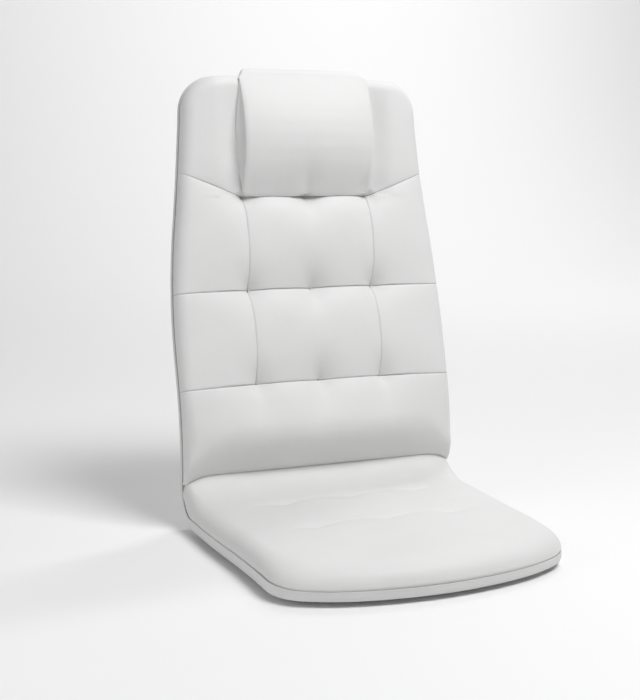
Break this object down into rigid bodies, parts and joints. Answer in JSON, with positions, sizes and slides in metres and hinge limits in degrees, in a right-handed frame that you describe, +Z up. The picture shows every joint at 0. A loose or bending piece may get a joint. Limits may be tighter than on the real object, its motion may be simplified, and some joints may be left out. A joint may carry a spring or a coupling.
{
  "type": "upholstered chair body with headrest pillow",
  "caption": "One-piece bent plywood seat and high back with tufted leather cushions, and a counterweighted headrest pillow hung over the top edge, without a base.",
  "frame": {"origin": "centre of the four base bolts, on the underside of the seat board", "axes": "+Z up, -Y the way the sitter faces, X across the width"},
  "size_m": [0.5, 0.6119, 0.767],
  "materials": {
    "leather_cushions": "smooth satin white leather",
    "leather_outer": "smooth satin white leather",
    "foam": "cut polyurethane foam",
    "plywood": "bent birch plywood",
    "board": "birch plywood board",
    "zinc_steel": "zinc plated",
    "twine": "waxed polyester twine",
    "toggle_plastic": "moulded nylon",
    "weight_steel": "black oxide",
    "zip_tape": "woven polyester tape with nylon coil",
    "zip_metal": "white enamel"
  },
  "bodies": {
    "chair_body": {"seat_board": "board", "t_nuts": "zinc_steel", "board_screws": "zinc_steel", "plywood_shell": "plywood", "rear_foam": "foam", "outer_cover": "leather_outer", "back_tuft_cords": "twine", "seat_tuft_cords": "twine", "back_tuft_toggles": "toggle_plastic", "seat_tuft_toggles": "toggle_plastic", "seat_foam": "foam", "seat_cushion_cover": "leather_cushions", "back_foam": "foam", "back_cushion_cover": "leather_cushions", "headrest_strap": "leather_cushions", "rear_zip_chain": "zip_tape"},
    "headrest_pillow": {"pillow_cover": "leather_cushions", "pillow_foam": "foam", "pillow_backing": "leather_cushions"},
    "weight_pouch": {"pouch_cover": "leather_outer", "pouch_padding": "foam", "counterweight": "weight_steel", "pouch_zip_chain": "zip_tape"},
    "rear_slider": {"rear_zip_slider": "zip_metal"},
    "rear_pull": {"rear_zip_pull": "zip_metal"},
    "pouch_slider": {"pouch_zip_slider": "zip_metal"},
    "pouch_pull": {"pouch_zip_pull": "zip_metal"}
  },
  "joints": [
    {"name": "pillow_slide", "type": "slide", "parent": "chair_body", "child": "headrest_pillow", "axis": [0, 0.0349, 0.9994], "range_m": [0, 0.06]},
    {"name": "pouch_slide", "type": "slide", "parent": "chair_body", "child": "weight_pouch", "axis": [0, -0.0666, -0.9978], "range_m": [0, 0.06]},
    {"name": "rear_zip_slide", "type": "slide", "parent": "chair_body", "child": "rear_slider", "axis": [1, 0, 0], "range_m": [0, 0.396]},
    {"name": "rear_zip_pull_hinge", "type": "hinge", "parent": "rear_slider", "child": "rear_pull", "pos_m": [-0.198, 0.2368, 0.13904], "axis": [1, 0, 0], "range_deg": [0, 170]},
    {"name": "pouch_zip_slide", "type": "slide", "parent": "weight_pouch", "child": "pouch_slider", "axis": [1, 0, 0], "range_m": [0, 0.152]},
    {"name": "pouch_zip_pull_hinge", "type": "hinge", "parent": "pouch_slider", "child": "pouch_pull", "pos_m": [-0.076, 0.35123, 0.71024], "axis": [1, 0, 0], "range_deg": [0, 170]}
  ],
  "couplings": [
    {"joint": "pouch_slide", "follows": "pillow_slide", "ratio": 1}
  ]
}
